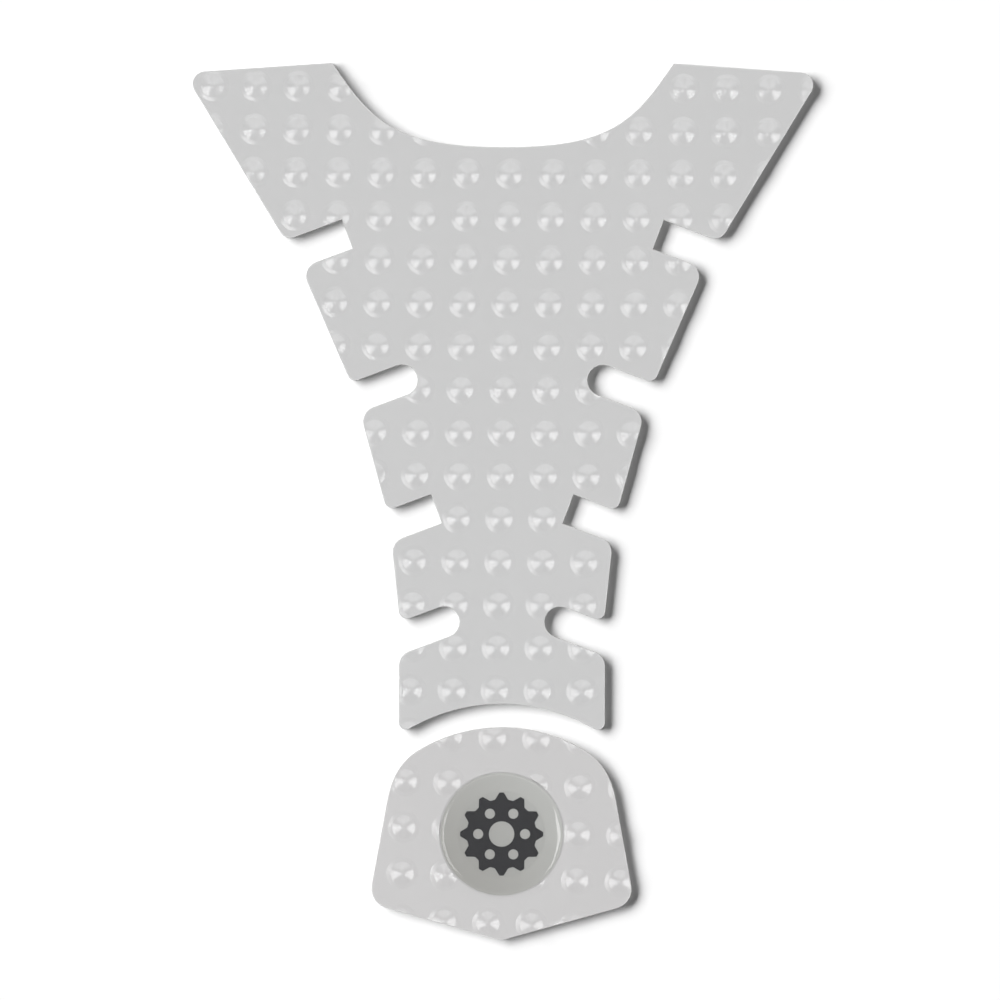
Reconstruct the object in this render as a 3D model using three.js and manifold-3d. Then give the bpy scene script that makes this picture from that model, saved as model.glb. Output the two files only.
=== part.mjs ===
// Motorcycle tank pad in two die-cut pieces: a long slotted spine and a small shield
// with a round resin-domed badge. Both pieces are soft clear sheet with rows of low
// conical grip studs, backed with a pressure-sensitive adhesive film.
// Millimetres. X runs across the pad, +Y towards the fuel cap and +Z off the tank.
// The pad lies flat with its adhesive at Z = 0 and the middle of its outline at X = Y = 0.

import * as THREE from 'three';
import { mergeVertices } from 'three/addons/utils/BufferGeometryUtils.js';
import Module from 'manifold-3d';

const wasm = await Module();
wasm.setup();

// Layers
const adhesiveThickness = 0.2;
const sheetThickness = 1.4;

// Grip studs: low cones moulded with the sheet
const studDiameter = 6.7;
const studHeight = 1.0;
const studSides = 16;
const studRooting = 0.2;

// Stud rows of the spine, die-cut slightly askew to them
const spineStudPitchAcross = 9.69;
const spineStudPitchAlong = 9.74;
const spineRowTilt = 0.33;
const spineColumnLean = 1.47;
const spineStudX = 0.23;
const spineStudFromTop = 83.5;

// Stud rows of the shield
const shieldStudPitchAcross = 9.87;
const shieldStudPitchAlong = 10.5;
const shieldRowTilt = 2.1;
const shieldColumnLean = 1.85;
const shieldStudX = -2.4;
const shieldStudFromTop = 23.3;

// Fuel-cap bay at the top of the spine
const bayHalfWidth = 38.6;
const bayDepth = 19;
const bayFloorHandle = 24.5;
const bayWallHandle = 16;
const bayWallAngle = 55.8;

// Spine outline: distances out from the middle line and down from the top corners
const wingTipReach = 72.2;
const wingTipDrop = 2.3;
const wingFootReach = 49.2;
const lobe2TopReach = 45.6;
const lobe2FootReach = 34.3;
const lobe3TopReach = 32.2;
const lobe3FootReach = 26.1;
const lobe4TopReach = 25;
const lobe4FootReach = 23.1;
const lobe5Reach = 23.3;
const wingTipRadius = 2.8;
const wingFootRadius = 2.7;
const lobeTopRadius = 3.4;
const lobeFootRadius = 1.8;
const lastFootRadius = 1.6;

// Slots between the lobes, all of one width and slant, each placed below the one before
const slotWidth = 7;
const slotSlant = 20.5;
const slot1Reach = 35.2;
const slot1FromTop = 38.7;
const slot2Reach = 22.7;
const slot2Below = 33;
const slot3Reach = 14.9;
const slot3Below = 29.1;
const slot4Reach = 13.1;
const slot4Below = 25.6;

// Foot arc of the spine, below the last slot, and the even gap to the shield
const footArcRadius = 41.6;
const footArcBelow = 18.5;
const pieceGap = 5.3;

// Shield outline
const shieldLength = 48.2;
const shieldArcHalfWidth = 19;
const shieldSideTopReach = 25.8;
const shieldSideTopDrop = 16.3;
const shieldFootReach = 30.1;
const shieldFootDrop = 39.8;
const shieldFootRadius = 4.5;

// Badge: a printed disc under a poured resin dome
const badgeDiameter = 27.7;
const badgeFromShieldTop = 24.1;
const badgeLandingClearance = 0.3;
const badgeDiscThickness = 0.5;
const domeEdgeHeight = 0.5;
const domeCrownHeight = 1.2;
const domeShoulderWidth = 1.2;

// Printed sprocket motif, let into the disc under the dome
const printThickness = 0.1;
const printClearance = 0.3;
const sprocketTipRadius = 9.4;
const sprocketRootRadius = 7.9;
const sprocketTeeth = 12;
const sprocketBoreRadius = 2.9;
const sprocketHoleRadius = 1.15;
const sprocketHoleCircleRadius = 5.3;
const sprocketHoles = 6;

// Smoothness of the round stretches: the most that a chord may cut inside its arc
const arcDeviation = 0.05;
const bayPoints = 16;
const shoulderPoints = 8;
const domeSides = 48;
const domeSteps = 7;

// Places worked out from the sizes above
const slot2FromTop = slot1FromTop + slot2Below;
const slot3FromTop = slot2FromTop + slot3Below;
const slot4FromTop = slot3FromTop + slot4Below;
const footArcFromTop = slot4FromTop + footArcBelow;
const overallLength = footArcFromTop + pieceGap + shieldLength;
const topY = overallLength / 2;
const shieldTopY = topY - footArcFromTop - pieceGap;
const badgeY = shieldTopY - badgeFromShieldTop;
const badgeRadius = badgeDiameter / 2;
const sheetTopZ = adhesiveThickness + sheetThickness;
const discTopZ = sheetTopZ + badgeDiscThickness;
const radians = THREE.MathUtils.degToRad;

const clearSheet = new THREE.MeshStandardMaterial({
  color: 0xcbcbcb, roughness: 0.25, metalness: 0,
});
const adhesiveFilm = new THREE.MeshStandardMaterial({
  color: 0xd8d8d4, roughness: 0.6, metalness: 0,
});
const badgeFilm = new THREE.MeshStandardMaterial({
  color: 0xb0b1ae, roughness: 0.4, metalness: 0,
});
const printInk = new THREE.MeshStandardMaterial({
  color: 0x404040, roughness: 0.5, metalness: 0,
});
const domeResin = new THREE.MeshStandardMaterial({
  color: 0xb4b6b2, roughness: 0.08, metalness: 0,
});

// Points on an arc, both ends included
function arc(centre, radius, fromAngle, toAngle) {
  const stepAngle = 2 * Math.acos(1 - arcDeviation / radius);
  const steps = Math.max(2, Math.ceil(Math.abs(toAngle - fromAngle) / stepAngle));
  const points = [];
  for (let i = 0; i <= steps; i += 1) {
    const angle = fromAngle + (toAngle - fromAngle) * i / steps;
    const x = centre.x + radius * Math.cos(angle);
    const y = centre.y + radius * Math.sin(angle);
    points.push(new THREE.Vector2(x, y));
  }
  return points;
}

// A corner between two straight edges, rounded to a radius
function roundedCorner(before, corner, after, radius) {
  const back = before.clone().sub(corner).normalize();
  const ahead = after.clone().sub(corner).normalize();
  const halfAngle = Math.acos(back.dot(ahead)) / 2;
  const middle = back.clone().add(ahead).normalize();
  const centre = corner.clone().addScaledVector(middle, radius / Math.sin(halfAngle));
  const reach = radius / Math.tan(halfAngle);
  const start = corner.clone().addScaledVector(back, reach).sub(centre);
  const end = corner.clone().addScaledVector(ahead, reach).sub(centre);
  const turn = Math.atan2(start.cross(end), start.dot(end));
  return arc(centre, radius, start.angle(), start.angle() + turn);
}

// A slot runs outwards and down from its inner end
function makeSlot(reach, fromTop) {
  const slant = radians(slotSlant);
  return {
    end: new THREE.Vector2(reach, topY - fromTop),
    across: new THREE.Vector2(Math.sin(slant), Math.cos(slant)),
  };
}

// Point on a slot's upper edge (side 1) or lower edge (side -1), at a distance out
function onSlotEdge(slot, reach, side) {
  const slant = radians(slotSlant);
  const middle = slot.end.y - Math.tan(slant) * (reach - slot.end.x);
  return new THREE.Vector2(reach, middle + side * slotWidth / 2 / Math.cos(slant));
}

// Where a slot's edge would meet the height of its inner end
function slotRoot(slot, side) {
  return onSlotEdge(slot, slot.end.x, side);
}

// A slot's inner end, cut square
function squareEnd(slot) {
  return [1, -1].map((side) => slot.end.clone().addScaledVector(slot.across, side * slotWidth / 2));
}

// A slot's inner end, cut round
function roundEnd(slot) {
  const start = slot.across.angle();
  return arc(slot.end, slotWidth / 2, start, start + Math.PI);
}

// The whole outline from its right half, which runs from the middle line to the middle line
function mirroredShape(rightHalf) {
  const leftHalf = rightHalf.slice(1, -1).reverse().map((p) => new THREE.Vector2(-p.x, p.y));
  return new THREE.Shape([...rightHalf, ...leftHalf]);
}

function bayCurve() {
  const corner = new THREE.Vector2(bayHalfWidth, topY);
  const wall = radians(bayWallAngle);
  const curve = new THREE.CubicBezierCurve(
    new THREE.Vector2(0, topY - bayDepth),
    new THREE.Vector2(bayFloorHandle, topY - bayDepth),
    new THREE.Vector2(
      corner.x - bayWallHandle * Math.cos(wall),
      corner.y - bayWallHandle * Math.sin(wall),
    ),
    corner,
  );
  return curve.getPoints(bayPoints);
}

function spineShape() {
  const slot1 = makeSlot(slot1Reach, slot1FromTop);
  const slot2 = makeSlot(slot2Reach, slot2FromTop);
  const slot3 = makeSlot(slot3Reach, slot3FromTop);
  const slot4 = makeSlot(slot4Reach, slot4FromTop);
  const bayCorner = new THREE.Vector2(bayHalfWidth, topY);
  const wingTip = new THREE.Vector2(wingTipReach, topY - wingTipDrop);
  const wingFoot = onSlotEdge(slot1, wingFootReach, 1);
  const lobe2Top = onSlotEdge(slot1, lobe2TopReach, -1);
  const lobe2Foot = onSlotEdge(slot2, lobe2FootReach, 1);
  const lobe3Top = onSlotEdge(slot2, lobe3TopReach, -1);
  const lobe3Foot = onSlotEdge(slot3, lobe3FootReach, 1);
  const lobe4Top = onSlotEdge(slot3, lobe4TopReach, -1);
  const lobe4Foot = onSlotEdge(slot4, lobe4FootReach, 1);
  const lobe5Top = onSlotEdge(slot4, lobe5Reach, -1);
  const footArcCentre = new THREE.Vector2(0, topY - footArcFromTop - footArcRadius);
  const onFootArc = (x) => new THREE.Vector2(
    x,
    footArcCentre.y + Math.sqrt(footArcRadius ** 2 - x ** 2),
  );
  const lobe5Foot = onFootArc(lobe5Reach);
  const footArcEnd = onFootArc(lobe5Reach - 2 * lastFootRadius);
  return mirroredShape([
    ...bayCurve(),
    ...roundedCorner(bayCorner, wingTip, wingFoot, wingTipRadius),
    ...roundedCorner(wingTip, wingFoot, slotRoot(slot1, 1), wingFootRadius),
    ...squareEnd(slot1),
    ...roundedCorner(slotRoot(slot1, -1), lobe2Top, lobe2Foot, lobeTopRadius),
    ...roundedCorner(lobe2Top, lobe2Foot, slotRoot(slot2, 1), lobeFootRadius),
    ...roundEnd(slot2),
    ...roundedCorner(slotRoot(slot2, -1), lobe3Top, lobe3Foot, lobeTopRadius),
    ...roundedCorner(lobe3Top, lobe3Foot, slotRoot(slot3, 1), lobeFootRadius),
    ...squareEnd(slot3),
    ...roundedCorner(slotRoot(slot3, -1), lobe4Top, lobe4Foot, lobeTopRadius),
    ...roundedCorner(lobe4Top, lobe4Foot, slotRoot(slot4, 1), lobeFootRadius),
    ...roundEnd(slot4),
    ...roundedCorner(slotRoot(slot4, -1), lobe5Top, lobe5Foot, lobeTopRadius),
    ...roundedCorner(lobe5Top, lobe5Foot, footArcEnd, lastFootRadius),
    ...arc(footArcCentre, footArcRadius, footArcEnd.clone().sub(footArcCentre).angle(), Math.PI / 2),
  ]);
}

function shieldShape() {
  const arcRadius = footArcRadius - pieceGap;
  const arcCentre = new THREE.Vector2(0, shieldTopY - arcRadius);
  const arcEndAngle = Math.acos(shieldArcHalfWidth / arcRadius);
  const arcPoints = arc(arcCentre, arcRadius, Math.PI / 2, arcEndAngle);
  const sideTop = new THREE.Vector2(shieldSideTopReach, shieldTopY - shieldSideTopDrop);
  const foot = new THREE.Vector2(shieldFootReach, shieldTopY - shieldFootDrop);
  const tip = new THREE.Vector2(0, shieldTopY - shieldLength);
  const shoulder = new THREE.QuadraticBezierCurve(
    arcPoints[arcPoints.length - 1],
    tangentMeeting(arcPoints[arcPoints.length - 1], arcEndAngle, sideTop, foot),
    sideTop,
  );
  return mirroredShape([
    ...arcPoints,
    ...shoulder.getPoints(shoulderPoints).slice(1),
    ...roundedCorner(sideTop, foot, tip, shieldFootRadius),
    tip,
  ]);
}

// Where the tangent at an arc's end meets the line through two points
function tangentMeeting(arcEnd, arcEndAngle, lineStart, lineEnd) {
  const tangent = new THREE.Vector2(Math.sin(arcEndAngle), -Math.cos(arcEndAngle));
  const line = lineEnd.clone().sub(lineStart);
  const between = lineStart.clone().sub(arcEnd);
  const along = between.cross(line) / tangent.cross(line);
  return arcEnd.clone().addScaledVector(tangent, along);
}

// A flat layer of an outline, between two heights
function layer(shape, bottomZ, thickness) {
  const geometry = new THREE.ExtrudeGeometry(shape, {
    depth: thickness, bevelEnabled: false, curveSegments: 1,
  });
  return geometry.translate(0, 0, bottomZ);
}

function toSolid(geometry) {
  geometry.deleteAttribute('normal');
  geometry.deleteAttribute('uv');
  const merged = mergeVertices(geometry);
  return new wasm.Manifold(new wasm.Mesh({
    numProp: 3,
    vertProperties: new Float32Array(merged.attributes.position.array),
    triVerts: new Uint32Array(merged.index.array),
  }));
}

function toGeometry(solid) {
  const mesh = solid.getMesh();
  const geometry = new THREE.BufferGeometry();
  geometry.setAttribute('position', new THREE.BufferAttribute(mesh.vertProperties, 3));
  geometry.setIndex(new THREE.BufferAttribute(mesh.triVerts, 1));
  geometry.computeVertexNormals();
  return geometry;
}

// One stud: a cone whose foot runs on a little way into the sheet
function stud(x, y) {
  const height = studHeight + studRooting;
  const radius = studDiameter / 2 * height / studHeight;
  const cone = new THREE.ConeGeometry(radius, height, studSides);
  cone.rotateX(Math.PI / 2);
  cone.translate(x, y, sheetTopZ + studHeight - height / 2);
  return toSolid(cone);
}

// Every stud of a grid whose centre lies near enough to the outline to show on it
function studsOver(shape, grid) {
  const across = new THREE.Vector2(grid.pitchAcross, 0);
  across.rotateAround(new THREE.Vector2(), -radians(grid.rowTilt));
  const along = new THREE.Vector2(0, grid.pitchAlong);
  along.rotateAround(new THREE.Vector2(), -radians(grid.columnLean));
  const box = new THREE.Box2().setFromPoints(shape.getPoints());
  box.expandByScalar(studDiameter / 2);
  const reach = Math.ceil(box.getSize(new THREE.Vector2()).length() / grid.pitchAcross);
  const studs = [];
  for (let row = -reach; row <= reach; row += 1) {
    for (let column = -reach; column <= reach; column += 1) {
      const centre = grid.start.clone();
      centre.addScaledVector(across, column);
      centre.addScaledVector(along, row);
      if (box.containsPoint(centre)) {
        studs.push(stud(centre.x, centre.y));
      }
    }
  }
  return studs;
}

// A studded sheet, cut to its outline straight through the studs at its edge
function studdedSheet(shape, grid) {
  const box = new THREE.Box2().setFromPoints(shape.getPoints());
  box.expandByScalar(studDiameter);
  const size = box.getSize(new THREE.Vector2());
  const centre = box.getCenter(new THREE.Vector2());
  const blank = new THREE.BoxGeometry(size.x, size.y, sheetThickness);
  blank.translate(centre.x, centre.y, adhesiveThickness + sheetThickness / 2);
  const moulded = studsOver(shape, grid).reduce((sheet, cone) => sheet.add(cone), toSolid(blank));
  const knifeDepth = sheetThickness + 2 * studHeight;
  return moulded.intersect(toSolid(layer(shape, adhesiveThickness, knifeDepth)));
}

function spinePad() {
  return toGeometry(studdedSheet(spineShape(), {
    start: new THREE.Vector2(spineStudX, topY - spineStudFromTop),
    pitchAcross: spineStudPitchAcross,
    pitchAlong: spineStudPitchAlong,
    rowTilt: spineRowTilt,
    columnLean: spineColumnLean,
  }));
}

// The shield's studs are also cut away round the flat landing of the badge
function shieldPad() {
  const sheet = studdedSheet(shieldShape(), {
    start: new THREE.Vector2(shieldStudX, shieldTopY - shieldStudFromTop),
    pitchAcross: shieldStudPitchAcross,
    pitchAlong: shieldStudPitchAlong,
    rowTilt: shieldRowTilt,
    columnLean: shieldColumnLean,
  });
  const landingRadius = badgeRadius + badgeLandingClearance;
  const cutter = new THREE.CylinderGeometry(landingRadius, landingRadius, 2 * studHeight, domeSides);
  cutter.rotateX(Math.PI / 2);
  cutter.translate(0, badgeY, sheetTopZ + studHeight);
  return toGeometry(sheet.subtract(toSolid(cutter)));
}

// The disc under the dome, with a shallow round recess for the print
function badgeDisc() {
  const recessRadius = sprocketTipRadius + printClearance;
  const recessZ = badgeDiscThickness - printThickness;
  return new THREE.LatheGeometry([
    new THREE.Vector2(0, 0),
    new THREE.Vector2(badgeRadius, 0),
    new THREE.Vector2(badgeRadius, badgeDiscThickness),
    new THREE.Vector2(recessRadius, badgeDiscThickness),
    new THREE.Vector2(recessRadius, recessZ),
    new THREE.Vector2(0, recessZ),
  ], domeSides).rotateX(Math.PI / 2);
}

// The motif: a plain chain sprocket with a bore and a ring of round holes
function badgePrint() {
  const outline = [];
  const toothAngle = 2 * Math.PI / sprocketTeeth;
  const flank = [[0.1, 1], [0.36, 0], [0.64, 0], [0.9, 1]];
  for (let tooth = 0; tooth < sprocketTeeth; tooth += 1) {
    for (const [part, high] of flank) {
      const radius = sprocketRootRadius + high * (sprocketTipRadius - sprocketRootRadius);
      const angle = (tooth + part) * toothAngle;
      outline.push(new THREE.Vector2(radius * Math.cos(angle), radius * Math.sin(angle)));
    }
  }
  const shape = new THREE.Shape(outline);
  shape.holes.push(new THREE.Path().absarc(0, 0, sprocketBoreRadius, 0, 2 * Math.PI));
  for (let hole = 0; hole < sprocketHoles; hole += 1) {
    const angle = 2 * Math.PI * hole / sprocketHoles;
    const x = sprocketHoleCircleRadius * Math.cos(angle);
    const y = sprocketHoleCircleRadius * Math.sin(angle);
    shape.holes.push(new THREE.Path().absarc(x, y, sprocketHoleRadius, 0, 2 * Math.PI));
  }
  return new THREE.ExtrudeGeometry(shape, {
    depth: printThickness, bevelEnabled: false, curveSegments: 10,
  });
}

// The dome: a low straight edge, a rounded shoulder and a gently crowned top
function badgeDome() {
  const profile = [new THREE.Vector2(0, 0), new THREE.Vector2(badgeRadius, 0)];
  const shoulderReach = badgeRadius - domeShoulderWidth;
  const crownRise = domeCrownHeight - domeEdgeHeight;
  profile.push(new THREE.Vector2(badgeRadius, domeEdgeHeight));
  for (let i = 1; i <= domeSteps; i += 1) {
    const angle = Math.PI / 2 * i / domeSteps;
    const reach = shoulderReach * Math.cos(angle) + domeShoulderWidth * Math.sqrt(Math.cos(angle));
    const height = domeEdgeHeight + crownRise * Math.sin(angle);
    profile.push(new THREE.Vector2(i === domeSteps ? 0 : reach, height));
  }
  return new THREE.LatheGeometry(profile, domeSides).rotateX(Math.PI / 2);
}

function place(name, geometry, material, x, y, z) {
  const mesh = new THREE.Mesh(geometry, material);
  mesh.name = name;
  mesh.position.set(x, y, z);
  return mesh;
}

function spine() {
  const group = new THREE.Group();
  const backing = layer(spineShape(), 0, adhesiveThickness);
  group.add(place('spine_adhesive', backing, adhesiveFilm, 0, 0, 0));
  group.add(place('spine_pad', spinePad(), clearSheet, 0, 0, 0));
  return group;
}

function badge() {
  const group = new THREE.Group();
  group.position.set(0, badgeY, sheetTopZ);
  group.add(place('badge_disc', badgeDisc(), badgeFilm, 0, 0, 0));
  group.add(place('badge_print', badgePrint(), printInk, 0, 0, badgeDiscThickness - printThickness));
  group.add(place('badge_dome', badgeDome(), domeResin, 0, 0, discTopZ - sheetTopZ));
  return group;
}

function shield() {
  const group = new THREE.Group();
  const backing = layer(shieldShape(), 0, adhesiveThickness);
  group.add(place('shield_adhesive', backing, adhesiveFilm, 0, 0, 0));
  group.add(place('shield_pad', shieldPad(), clearSheet, 0, 0, 0));
  group.add(badge());
  return group;
}

const tankPad = new THREE.Group();
tankPad.add(spine());
tankPad.add(shield());

export default tankPad;
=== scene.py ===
# A motorcycle tank pad: two die-cut sheets of soft clear plastic with rows of conical
# grip studs, each on its adhesive film, and a resin-domed badge on the smaller one.
import math

import bmesh
import bpy
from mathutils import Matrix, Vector
from mathutils.geometry import delaunay_2d_cdt, intersect_point_line, tessellate_polygon


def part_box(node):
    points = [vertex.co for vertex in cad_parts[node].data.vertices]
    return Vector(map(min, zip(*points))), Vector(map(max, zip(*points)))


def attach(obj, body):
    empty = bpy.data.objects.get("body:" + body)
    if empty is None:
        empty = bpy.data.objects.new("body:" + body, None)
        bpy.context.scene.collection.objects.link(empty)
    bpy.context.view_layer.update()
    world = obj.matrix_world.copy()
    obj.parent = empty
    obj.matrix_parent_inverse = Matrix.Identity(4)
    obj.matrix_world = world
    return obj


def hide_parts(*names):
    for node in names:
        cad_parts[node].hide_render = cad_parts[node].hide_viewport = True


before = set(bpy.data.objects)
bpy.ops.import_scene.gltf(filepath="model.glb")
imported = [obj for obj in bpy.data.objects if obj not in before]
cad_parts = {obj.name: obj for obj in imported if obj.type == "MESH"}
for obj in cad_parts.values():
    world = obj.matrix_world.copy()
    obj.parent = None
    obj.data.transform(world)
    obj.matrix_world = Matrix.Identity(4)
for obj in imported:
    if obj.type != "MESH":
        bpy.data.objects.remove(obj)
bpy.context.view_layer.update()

# Adhesive films
# A thin pressure-sensitive film covers the whole back of each sheet and is cut with it by
# the same knife. It is cloudy, faintly warm acrylic glue, and its cut edge is what shows.
MM = 0.001


def material_named(name):
    """A new material, with its nodes and its Principled shader."""
    material = bpy.data.materials.new(name)
    material.use_nodes = True
    return material, material.node_tree.nodes, material.node_tree.links


def drift_group():
    """Slow change over a moulded or cast surface: a mask from 0 to 1, and a fine height."""
    group = bpy.data.node_groups.new("surface_drift", "ShaderNodeTree")
    face = group.interface
    face.new_socket("Patch Scale", in_out="INPUT", socket_type="NodeSocketFloat")
    face.new_socket("Grain Scale", in_out="INPUT", socket_type="NodeSocketFloat")
    face.new_socket("Mask", in_out="OUTPUT", socket_type="NodeSocketFloat")
    face.new_socket("Height", in_out="OUTPUT", socket_type="NodeSocketFloat")
    nodes, links = group.nodes, group.links
    entry = nodes.new("NodeGroupInput")
    leave = nodes.new("NodeGroupOutput")
    place = nodes.new("ShaderNodeTexCoord")
    patches = nodes.new("ShaderNodeTexNoise")
    patches.inputs["Detail"].default_value = 3.0
    grain = nodes.new("ShaderNodeTexNoise")
    grain.inputs["Detail"].default_value = 2.0
    links.new(place.outputs["Object"], patches.inputs["Vector"])
    links.new(place.outputs["Object"], grain.inputs["Vector"])
    links.new(entry.outputs["Patch Scale"], patches.inputs["Scale"])
    links.new(entry.outputs["Grain Scale"], grain.inputs["Scale"])
    links.new(patches.outputs["Fac"], leave.inputs["Mask"])
    links.new(grain.outputs["Fac"], leave.inputs["Height"])
    return group


surface_drift = drift_group()


def finish_surface(name, low, high, patch, grain, rough, bump, bump_height):
    """A plain moulded surface: two near colours in slow patches, and a fine skin."""
    material, nodes, links = material_named(name)
    shader = nodes["Principled BSDF"]
    drift = nodes.new("ShaderNodeGroup")
    drift.node_tree = surface_drift
    drift.inputs["Patch Scale"].default_value = patch
    drift.inputs["Grain Scale"].default_value = grain
    tone = nodes.new("ShaderNodeMix")
    tone.data_type = "RGBA"
    tone.inputs["A"].default_value = (*low, 1.0)
    tone.inputs["B"].default_value = (*high, 1.0)
    links.new(drift.outputs["Mask"], tone.inputs["Factor"])
    links.new(tone.outputs["Result"], shader.inputs["Base Color"])
    skin = nodes.new("ShaderNodeBump")
    skin.inputs["Strength"].default_value = bump
    skin.inputs["Distance"].default_value = bump_height
    links.new(drift.outputs["Height"], skin.inputs["Height"])
    links.new(skin.outputs["Normal"], shader.inputs["Normal"])
    shine = nodes.new("ShaderNodeMapRange")
    shine.inputs["To Min"].default_value = rough[0]
    shine.inputs["To Max"].default_value = rough[1]
    links.new(drift.outputs["Mask"], shine.inputs["Value"])
    links.new(shine.outputs["Result"], shader.inputs["Roughness"])
    return material, shader


def give_material(name, material):
    """Put one material on a piece that keeps its modelled shape."""
    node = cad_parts[name]
    node.data.materials.clear()
    node.data.materials.append(material)


adhesive, _ = finish_surface(
    "adhesive_acrylic",
    low=(0.62, 0.62, 0.59),
    high=(0.7, 0.7, 0.67),
    patch=60.0,
    grain=900.0,
    rough=(0.45, 0.6),
    bump=0.2,
    bump_height=0.05 * MM,
)
for film in ("spine_adhesive", "shield_adhesive"):
    give_material(film, adhesive)

# Spine sheet
# The long sheet is soft clear PVC, moulded flat with rows of low conical studs, then cut
# by a knife that leaves slightly rounded edges and runs straight through the studs.
STUD_RADIUS = 3.65 * MM
STUD_SIDES = 40
# Slope of a stud's flank in degrees at distances from its middle in millimetres: a blunt
# tip, a straight cone and a shallow skirt that runs out into the sheet
STUD_FLANK = ((0, 0), (0.35, 9), (0.9, 14.5), (1.6, 18), (2.5, 18), (2.75, 8), (3.45, 8), (3.65, 0))
STUD_RINGS = (0.08, 0.2, 0.35, 0.9, 1.6, 2.5, 2.58, 2.67, 2.75, 3.45, 3.52, 3.58, 3.65)
# Within the last stretch to its cut the knife crushes a stud down to a part of its height.
# The cut's upper edge is just rounded over. Widths in millimetres, angles in degrees.
EDGE_WIDTH = 0.9
EDGE_FIRST_RING = 0.35
CRUSHED_HEIGHT = 0.15
EDGE_ROUND = 0.2
EDGE_ROUND_ANGLES = (0, 20, 45, 70, 90)
# Where studs stop at a level landing, they end in a step this wide in millimetres
LANDING_STEP = 0.02
# Farther from its first stud than any sheet reaches
FARTHEST_STUD = 250 * MM
# Stud pitch across and along the spine in millimetres, and the lean of the rows and of the
# columns in degrees. The first stud lies this far right of the middle and below the top.
SPINE_GRID = (9.69, 9.74, 0.33, 1.47)
SPINE_FIRST_STUD = (0.23, 83.5)


def flank_slope(reach):
    """Slope of the flank, in radians, at a distance in millimetres from the middle."""
    for (r0, s0), (r1, s1) in zip(STUD_FLANK, STUD_FLANK[1:]):
        if reach <= r1:
            return math.radians(s0 + (s1 - s0) * (reach - r0) / (r1 - r0))
    return 0.0


FLANK_STEP = 0.01
FLANK_HEIGHTS = [0.0]
for i in range(int(STUD_RADIUS / MM / FLANK_STEP)):
    reach = STUD_RADIUS / MM - (i + 0.5) * FLANK_STEP
    FLANK_HEIGHTS.append(FLANK_HEIGHTS[-1] + math.tan(flank_slope(reach)) * FLANK_STEP)
FLANK_HEIGHTS.reverse()


def stud_rise(reach):
    """Height of a stud, in metres, at a distance from its middle in metres."""
    at = reach / MM / FLANK_STEP
    low = int(at)
    if low >= len(FLANK_HEIGHTS) - 1:
        return 0.0
    part = at - low
    return ((1 - part) * FLANK_HEIGHTS[low] + part * FLANK_HEIGHTS[low + 1]) * MM


def walked(after):
    """The corners of a closed ring in order, from a map of each corner to the next one."""
    ring = [min(after)]
    while after[ring[-1]] != ring[0]:
        ring.append(after[ring[-1]])
    return ring


def knife_outline(node):
    """The outline that the knife cuts, in order, from the underside of an adhesive film."""
    mesh = bmesh.new()
    mesh.from_mesh(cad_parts[node].data)
    bmesh.ops.remove_doubles(mesh, verts=mesh.verts, dist=1e-6)
    under = {f for f in mesh.faces if f.normal.z < -0.9}
    after = {}
    for face in under:
        for loop in face.loops:
            if any(f not in under for f in loop.edge.link_faces):
                after[loop.link_loop_next.vert.index] = loop.vert.index
    place = {v.index: v.co.xy for v in mesh.verts}
    points = [place[i].copy() for i in walked(after)]
    mesh.free()
    return points


def outward(points, i):
    """Outward direction at a corner of an anticlockwise ring, long enough to keep the offset."""
    before, here, after = points[i - 1], points[i], points[(i + 1) % len(points)]
    one = (here - before).normalized()
    two = (after - here).normalized()
    out = Vector((one.y, -one.x)) + Vector((two.y, -two.x))
    out.normalize()
    return out / max(0.5, out.dot(Vector((one.y, -one.x))))


def moved_out(points, distance):
    """The ring, offset outwards."""
    return [p + outward(points, i) * distance for i, p in enumerate(points)]


def cut_point(point, inner, outline):
    """The place on the knife's outline that a point on the inner ring belongs to."""
    nearest, place = math.inf, None
    for i in range(len(inner)):
        part = intersect_point_line(point, inner[i - 1], inner[i])[1]
        part = min(1.0, max(0.0, part))
        gap = (inner[i - 1].lerp(inner[i], part) - point).length
        if gap < nearest:
            nearest, place = gap, outline[i - 1].lerp(outline[i], part)
    return place


class StudGrid:
    """Rows of studs on a skewed grid, as far as a ring of points reaches."""

    def __init__(self, start, across, along, ring, keep_clear=None):
        reach = int(FARTHEST_STUD / min(across.length, along.length))
        left, right = min(p.x for p in ring), max(p.x for p in ring)
        low, high = min(p.y for p in ring), max(p.y for p in ring)
        self.across, self.along, self.start = across, along, start
        self.centres = []
        for row in range(-reach, reach + 1):
            for column in range(-reach, reach + 1):
                centre = start + across * column + along * row
                in_x = left - STUD_RADIUS < centre.x < right + STUD_RADIUS
                in_y = low - STUD_RADIUS < centre.y < high + STUD_RADIUS
                if in_x and in_y:
                    self.centres.append(centre)
        self.keep_clear = keep_clear
        self.turn = across.x * along.y - across.y * along.x

    def nearest(self, point):
        """The middle of the grid's stud nearest to a point."""
        gap = point - self.start
        column = round((gap.x * self.along.y - gap.y * self.along.x) / self.turn)
        row = round((self.across.x * gap.y - self.across.y * gap.x) / self.turn)
        return self.start + self.across * column + self.along * row

    def rise_and_normal(self, point):
        """Height above the sheet and surface direction at a point."""
        gap = point - self.nearest(point)
        reach = gap.length
        inside = self.keep_clear and (point - self.keep_clear[0]).length < self.keep_clear[1]
        if reach >= STUD_RADIUS or reach < 1e-7 or inside:
            rise = 0.0 if reach >= STUD_RADIUS or inside else stud_rise(0.0)
            return rise, Vector((0, 0, 1))
        slope = flank_slope(reach / MM)
        side = gap / reach * math.sin(slope)
        return stud_rise(reach), Vector((side.x, side.y, math.cos(slope)))


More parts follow.
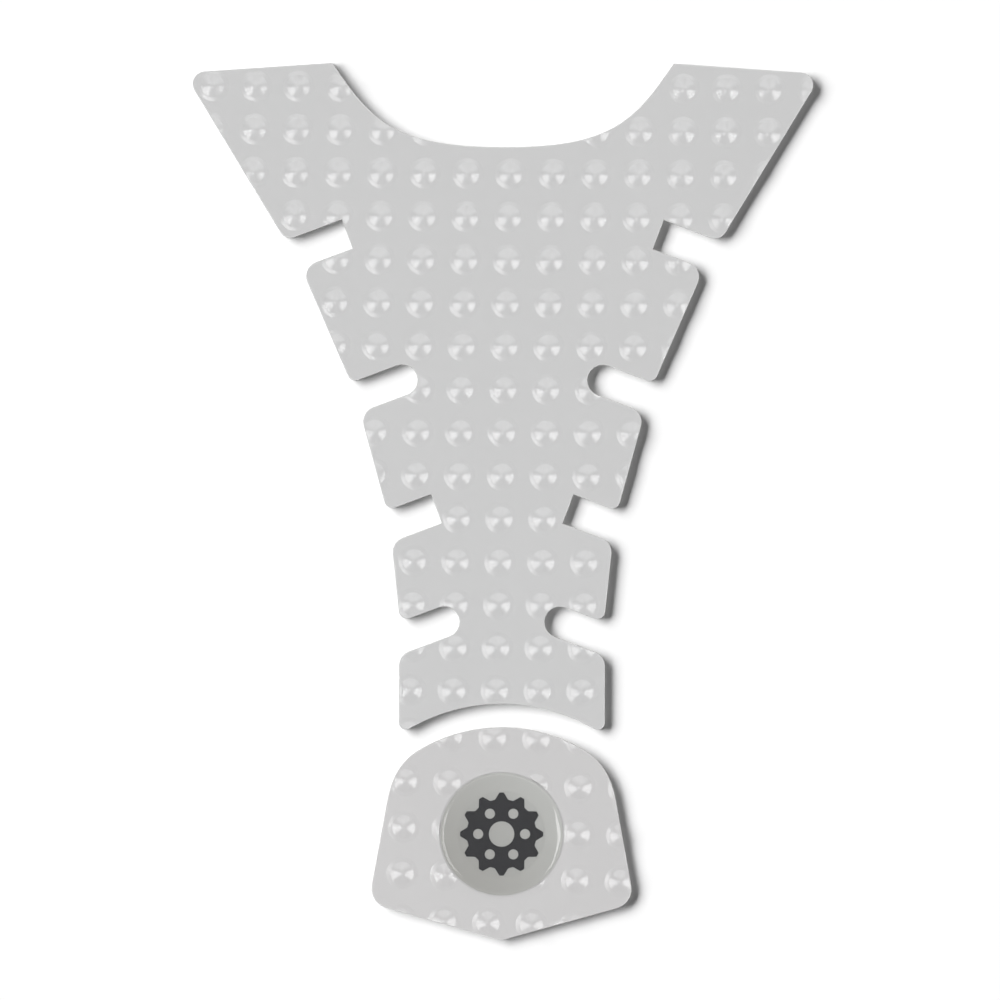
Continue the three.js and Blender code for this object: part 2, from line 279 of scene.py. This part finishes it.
def add_circle(points, edges, centre, radius, sides):
    """Add a closed circle to a list of points and to the edges between them."""
    first = len(points)
    for side in range(sides):
        turn = 2 * math.pi * side / sides
        points.append(centre + Vector((math.cos(turn), math.sin(turn))) * radius)
        edges.append((first + side, first + (side + 1) % sides))


def new_piece(name, spots, faces):
    """A smooth-shaded mesh object in the scene."""
    mesh = bpy.data.meshes.new(name)
    mesh.from_pydata(spots, [], faces)
    mesh.shade_smooth()
    piece = bpy.data.objects.new(name, mesh)
    bpy.context.scene.collection.objects.link(piece)
    return piece


def studded_sheet(name, outline, grid, bottom, top):
    """A closed mesh of one studded sheet, cut to an outline, with exact surface normals."""
    inner = moved_out(outline, -EDGE_WIDTH * MM)
    points = list(inner)
    edges = []
    for centre in grid.centres:
        points.append(centre)
        for ring in STUD_RINGS:
            add_circle(points, edges, centre, ring * MM, STUD_SIDES)
    if grid.keep_clear:
        centre, radius = grid.keep_clear
        for reach in (radius - LANDING_STEP * MM, radius):
            add_circle(points, edges, centre, reach, 4 * STUD_SIDES)
    cut = delaunay_2d_cdt(points, edges, [list(range(len(inner)))], 0, 1e-8, True)
    flat, faces = cut[0], [f for f, ids in zip(cut[2], cut[5]) if 0 in ids]
    used = sorted({i for f in faces for i in f})
    number = {old: new for new, old in enumerate(used)}
    flat = [flat[i] for i in used]
    faces = [[number[i] for i in f] for f in faces]
    spots, normals = [], []
    for point in flat:
        rise, normal = grid.rise_and_normal(point)
        spots.append(Vector((point.x, point.y, top + rise)))
        normals.append(normal)
    face_normals = [[normals[i] for i in f] for f in faces]

    pairs = {(f[i - 1], f[i]) for f in faces for i in range(len(f))}
    ring = walked({a: b for a, b in pairs if (b, a) not in pairs})
    rim = [flat[i] for i in ring]
    count = len(ring)
    above, above_normals = ring, [normals[i] for i in ring]
    outs = [(cut_point(point, inner, outline) - point) / (EDGE_WIDTH * MM) for point in rim]
    steps = [(EDGE_FIRST_RING, 0.0, 0.0)]
    for turn in map(math.radians, EDGE_ROUND_ANGLES):
        reach = EDGE_WIDTH - EDGE_ROUND * (1 - math.sin(turn))
        steps.append((reach, EDGE_ROUND * (1 - math.cos(turn)), turn))
    steps.append((EDGE_WIDTH, None, math.pi / 2))
    for reach, drop, turn in steps:
        below, below_normals = [], []
        for i in range(count):
            point = rim[i] + outs[i] * reach * MM
            rise, normal = grid.rise_and_normal(point)
            out = Vector((*outs[i], 0)).normalized()
            kept = 1 - (1 - CRUSHED_HEIGHT) * reach / EDGE_WIDTH
            height = bottom if drop is None else top + rise * kept - drop * MM
            direction = normal * math.cos(turn) + out * math.sin(turn)
            below.append(len(spots))
            below_normals.append(direction.normalized())
            spots.append(Vector((point.x, point.y, height)))
        for i in range(count):
            j = (i + 1) % count
            faces.append([above[i], below[i], below[j], above[j]])
            if drop is None:
                face_normals.append([below_normals[i]] * 2 + [below_normals[j]] * 2)
            else:
                upper, lower = above_normals, below_normals
                face_normals.append([upper[i], lower[i], lower[j], upper[j]])
        above, above_normals = below, below_normals
    down = Vector((0, 0, -1))
    for a, b, c in tessellate_polygon([[spots[i] for i in above]]):
        corners = [above[a], above[b], above[c]]
        first, second, third = (spots[i] for i in corners)
        if (second - first).cross(third - first).z > 0:
            corners.reverse()
        faces.append(corners)
        face_normals.append([down] * 3)

    piece = new_piece(name, spots, faces)
    piece.data.normals_split_custom_set([n for group in face_normals for n in group])
    return piece


def skewed(pitch_across, pitch_along, row_tilt, column_lean):
    """The two steps of a stud grid whose rows and columns lean by small angles."""
    across = Vector((math.cos(math.radians(row_tilt)), -math.sin(math.radians(row_tilt))))
    along = Vector((math.sin(math.radians(column_lean)), math.cos(math.radians(column_lean))))
    return across * pitch_across * MM, along * pitch_along * MM


def clear_sheet(name, low, high):
    """Soft clear plastic: a glossy skin over a body that spreads the light a little."""
    material, shader = finish_surface(
        name, low, high, patch=45.0, grain=2600.0, rough=(0.13, 0.18), bump=0.02, bump_height=0.004 * MM
    )
    shader.inputs["Subsurface Weight"].default_value = 0.7
    shader.inputs["Subsurface Radius"].default_value = (1.0, 1.0, 1.0)
    shader.inputs["Subsurface Scale"].default_value = 0.5 * MM
    shader.inputs["IOR"].default_value = 1.5
    return material


spine_low, spine_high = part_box("spine_pad")
sheet_bottom = spine_low.z
sheet_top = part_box("badge_disc")[0].z
spine_outline = knife_outline("spine_adhesive")
across, along = skewed(*SPINE_GRID)
spine_start = Vector((SPINE_FIRST_STUD[0] * MM, spine_high.y - SPINE_FIRST_STUD[1] * MM))
spine_grid = StudGrid(spine_start, across, along, spine_outline)
spine = studded_sheet("spine_sheet", spine_outline, spine_grid, sheet_bottom, sheet_top)
spine.data.materials.append(clear_sheet("clear_sheet_spine", (0.669, 0.669, 0.669), (0.687, 0.687, 0.687)))
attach(spine, "root")
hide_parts("spine_pad")

# Shield sheet
# The small sheet is the same studded PVC. Its studs are flattened where the badge sits,
# so that the badge has a level landing.
SHIELD_GRID = (9.87, 10.5, 2.1, 1.85)
SHIELD_FIRST_STUD = (-2.4, 23.3)
LANDING_MARGIN = 0.3 * MM
shield_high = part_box("shield_pad")[1]
shield_outline = knife_outline("shield_adhesive")
badge_low, badge_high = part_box("badge_disc")
badge_middle = ((badge_low + badge_high) / 2).xy
badge_radius = (badge_high.x - badge_low.x) / 2
across, along = skewed(*SHIELD_GRID)
shield_start = Vector((SHIELD_FIRST_STUD[0] * MM, shield_high.y - SHIELD_FIRST_STUD[1] * MM))
landing = (badge_middle, badge_radius + LANDING_MARGIN)
shield_grid = StudGrid(shield_start, across, along, shield_outline, landing)
shield = studded_sheet("shield_sheet", shield_outline, shield_grid, sheet_bottom, sheet_top)
shield.data.materials.append(clear_sheet("clear_sheet_shield", (0.671, 0.664, 0.665), (0.687, 0.68, 0.679)))
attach(shield, "root")
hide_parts("shield_pad")

# Badge disc and print
# The disc is punched from a greenish-grey satin vinyl label film and stuck to the landing.
# The sprocket is a thick dark screen print on it. Both keep their modelled shapes.
# The film's low and high colours are its painted shaded side and its painted lit side
badge_film, film_shader = finish_surface(
    "label_film",
    low=(0.4, 0.394, 0.374),
    high=(0.614, 0.62, 0.603),
    patch=70.0,
    grain=3000.0,
    rough=(0.3, 0.4),
    bump=0.05,
    bump_height=0.01 * MM,
)
ink, ink_shader = finish_surface(
    "screen_ink",
    low=(0.009, 0.009, 0.012),
    high=(0.013, 0.013, 0.016),
    patch=200.0,
    grain=6000.0,
    rough=(0.45, 0.6),
    bump=0.2,
    bump_height=0.01 * MM,
)
for shader in (film_shader, ink_shader):
    shader.inputs["Specular IOR Level"].default_value = 0.05
# Painted light: the film's colour runs from its painted shaded side to its painted lit side, lighter
# towards +X and +Y, in place of the film's slow patches
nodes, links = badge_film.node_tree.nodes, badge_film.node_tree.links
place = nodes.new("ShaderNodeTexCoord")
painted_light_ramp = nodes.new("ShaderNodeVectorMath")
painted_light_ramp.operation = "DOT_PRODUCT"
painted_light_ramp.inputs[1].default_value = (0.56, 0.44, 0.0)
links.new(place.outputs["Generated"], painted_light_ramp.inputs[0])
film_painted_light_tone = film_shader.inputs["Base Color"].links[0].from_node
links.new(painted_light_ramp.outputs["Value"], film_painted_light_tone.inputs["Factor"])
give_material("badge_disc", badge_film)
give_material("badge_print", ink)

# Badge dome
# A drop of clear polyurethane resin is poured on the disc and stops at its edge. It sets to
# a nearly flat lens with a tight rounded shoulder, wider only where the resin ran last. It
# wets the film, so the lens reaches a hair into it and no air is left between them.
DOME_SIDES = 192
DOME_EDGE = 0.15 * MM
DOME_GRIP = 0.005 * MM
# Rings of the lens as shares of its radius, close together on the shoulder
DOME_RINGS = (
    (1, 0.9995, 0.998, 0.995, 0.99, 0.983, 0.974, 0.964, 0.952, 0.938)
    + (0.92, 0.9, 0.87, 0.83, 0.78, 0.7, 0.6, 0.4, 0.2)
)
# The higher this power of the radius, the tighter the shoulder. Towards +X it is eased.
SHOULDER_POWER = 70
SHOULDER_EASED = 65
CREASE_ANGLE = 50


def resin_dome(name, low, high):
    """A closed lathed lens between two box corners, with its shoulder widest towards +X."""
    middle = (low + high) / 2
    radius = (high.x - low.x) / 2
    crown = high.z - low.z - DOME_EDGE
    rings = [[(1.0, low.z - DOME_GRIP)] * DOME_SIDES]
    for part in DOME_RINGS:
        ring = []
        for side in range(DOME_SIDES):
            to_right = max(0.0, math.cos(2 * math.pi * side / DOME_SIDES))
            fall = SHOULDER_POWER - SHOULDER_EASED * to_right**4
            ring.append((part, low.z + DOME_EDGE + crown * math.sqrt(1 - part**fall)))
        rings.append(ring)
    spots, faces = [], []
    for ring in rings:
        for side, (part, z) in enumerate(ring):
            turn = 2 * math.pi * side / DOME_SIDES
            x, y = math.cos(turn) * part * radius, math.sin(turn) * part * radius
            spots.append((middle.x + x, middle.y + y, z))
    for ring in range(len(rings) - 1):
        for side in range(DOME_SIDES):
            after = (side + 1) % DOME_SIDES
            low_row, high_row = ring * DOME_SIDES, (ring + 1) * DOME_SIDES
            faces.append((low_row + side, low_row + after, high_row + after, high_row + side))
    last = (len(rings) - 1) * DOME_SIDES
    spots.append((middle.x, middle.y, high.z))
    for side in range(DOME_SIDES):
        faces.append((last + side, last + (side + 1) % DOME_SIDES, len(spots) - 1))
    faces.append(tuple(reversed(range(DOME_SIDES))))
    piece = new_piece(name, spots, faces)
    piece.data.set_sharp_from_angle(angle=math.radians(CREASE_ANGLE))
    return piece


resin, resin_shader = finish_surface(
    "clear_resin",
    low=(0.985, 0.99, 0.98),
    high=(0.99, 0.995, 0.99),
    patch=60.0,
    grain=400.0,
    rough=(0.03, 0.07),
    bump=0.1,
    bump_height=0.004 * MM,
)
resin_shader.inputs["Transmission Weight"].default_value = 1.0
resin_shader.inputs["IOR"].default_value = 1.49
nodes, links = resin.node_tree.nodes, resin.node_tree.links
ray = nodes.new("ShaderNodeLightPath")
clear = nodes.new("ShaderNodeBsdfTransparent")
either = nodes.new("ShaderNodeMixShader")
links.new(ray.outputs["Is Shadow Ray"], either.inputs["Fac"])
links.new(resin_shader.outputs["BSDF"], either.inputs[1])
links.new(clear.outputs["BSDF"], either.inputs[2])
links.new(either.outputs["Shader"], nodes["Material Output"].inputs["Surface"])
dome = resin_dome("badge_dome_resin", *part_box("badge_dome"))
dome.data.materials.append(resin)
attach(dome, "root")
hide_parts("badge_dome")

# Floor, lamps and camera
# The pad lies on a pale matt floor that runs out to white. Level lamps over it draw the
# lights in the studs, and one far lamp, for the floor alone, gives the pad its shadow.
FLOOR_SIZE = 6.0
FLOOR_DROP = 0.01 * MM
KEY_DISTANCE = 40.0
KEY_SIZE = (42.0, 17.2)
KEY_ENERGY = 38300
WORLD_LEVEL = 0.12
# The picture's width on the pad, its middle, and how far it is turned
PICTURE_WIDTH = 226.17 * MM
PICTURE_MIDDLE = (-0.5 * MM, 0.4 * MM)
PICTURE_TURN = 0.107

half = FLOOR_SIZE / 2
floor_corners = [(-half, -half, 0), (half, -half, 0), (half, half, 0), (-half, half, 0)]
floor = new_piece("floor", floor_corners, [(0, 1, 2, 3)])
floor.location.z = -FLOOR_DROP
floor_material, floor_nodes, _ = material_named("pale_floor")
floor_shader = floor_nodes["Principled BSDF"]
floor_shader.inputs["Base Color"].default_value = (0.9, 0.9, 0.9, 1)
floor_shader.inputs["Roughness"].default_value = 0.9
floor_shader.inputs["Specular IOR Level"].default_value = 0.0
floor.data.materials.append(floor_material)


def overhead_lamp(name, turn, height, near, far, width, radiance):
    """A level lamp of a set radiance, turned about the pad, from near to far away from it."""
    data = bpy.data.lights.new(name, "AREA")
    data.shape = "RECTANGLE"
    data.size, data.size_y = far - near, width
    data.energy = radiance * math.pi * (far - near) * width
    lamp = bpy.data.objects.new(name, data)
    around = math.radians(turn)
    middle = (near + far) / 2
    lamp.location = (middle * math.cos(around), middle * math.sin(around), height)
    lamp.rotation_euler.z = around
    lamp.visible_camera = False
    bpy.context.scene.collection.objects.link(lamp)
    return lamp


# Turn in degrees, height, nearest and farthest reach, width, radiance
lamps = [
    overhead_lamp("softbox_left", 201, 1.2, 0.61, 1.2, 0.78, 5.75),
    overhead_lamp("softbox_right", -20, 1.2, 0.61, 1.2, 0.8, 6.0),
    overhead_lamp("top_panel", 90, 1.2, 0.45, 1.12, 1.7, 2.1),
    overhead_lamp("small_left", 208, 1.2, 0.19, 0.42, 0.36, 5.2),
]
for lamp in lamps:
    lit = bpy.data.collections.new("lit_by_" + lamp.name)
    lit.objects.link(floor)
    lit.collection_objects[0].light_linking.link_state = "EXCLUDE"
    lamp.light_linking.receiver_collection = lit

key_turn, key_lean = math.radians(160), math.radians(60)
key_direction = Vector(
    (math.cos(key_turn) * math.sin(key_lean), math.sin(key_turn) * math.sin(key_lean), math.cos(key_lean))
)
key_data = bpy.data.lights.new("floor_key", "AREA")
key_data.shape = "RECTANGLE"
key_data.size, key_data.size_y = KEY_SIZE
key_data.energy = KEY_ENERGY
key = bpy.data.objects.new("floor_key", key_data)
key.location = key_direction * KEY_DISTANCE
key.rotation_mode = "QUATERNION"
key.rotation_quaternion = (-key_direction).to_track_quat("-Z", "Y")
key.visible_camera = False
bpy.context.scene.collection.objects.link(key)
floor_only = bpy.data.collections.new("floor_only")
floor_only.objects.link(floor)
key.light_linking.receiver_collection = floor_only

world = bpy.data.worlds.new("studio")
bpy.context.scene.world = world
world.use_nodes = True
world_nodes, world_links = world.node_tree.nodes, world.node_tree.links
ambient = world_nodes["Background"]
ambient.inputs["Color"].default_value = (1, 1, 1, 1)
rays = world_nodes.new("ShaderNodeLightPath")
seen = rays.outputs["Is Camera Ray"]
for kind in ("Is Glossy Ray", "Is Transmission Ray"):
    either = world_nodes.new("ShaderNodeMath")
    either.operation = "MAXIMUM"
    world_links.new(seen, either.inputs[0])
    world_links.new(rays.outputs[kind], either.inputs[1])
    seen = either.outputs["Value"]
level = world_nodes.new("ShaderNodeMapRange")
level.inputs["To Min"].default_value = WORLD_LEVEL
level.inputs["To Max"].default_value = 1.0
world_links.new(seen, level.inputs["Value"])
world_links.new(level.outputs["Result"], ambient.inputs["Strength"])

camera_data = bpy.data.cameras.new("camera")
camera_data.lens = 200
camera_data.sensor_width = 36
camera = bpy.data.objects.new("camera", camera_data)
camera_distance = PICTURE_WIDTH * camera_data.lens / camera_data.sensor_width
camera.location = (*PICTURE_MIDDLE, sheet_top + camera_distance)
camera.rotation_euler.z = math.radians(PICTURE_TURN)
bpy.context.scene.collection.objects.link(camera)
bpy.context.scene.camera = camera
bpy.context.scene.view_settings.view_transform = "Standard"
bpy.context.scene.cycles.caustics_refractive = False
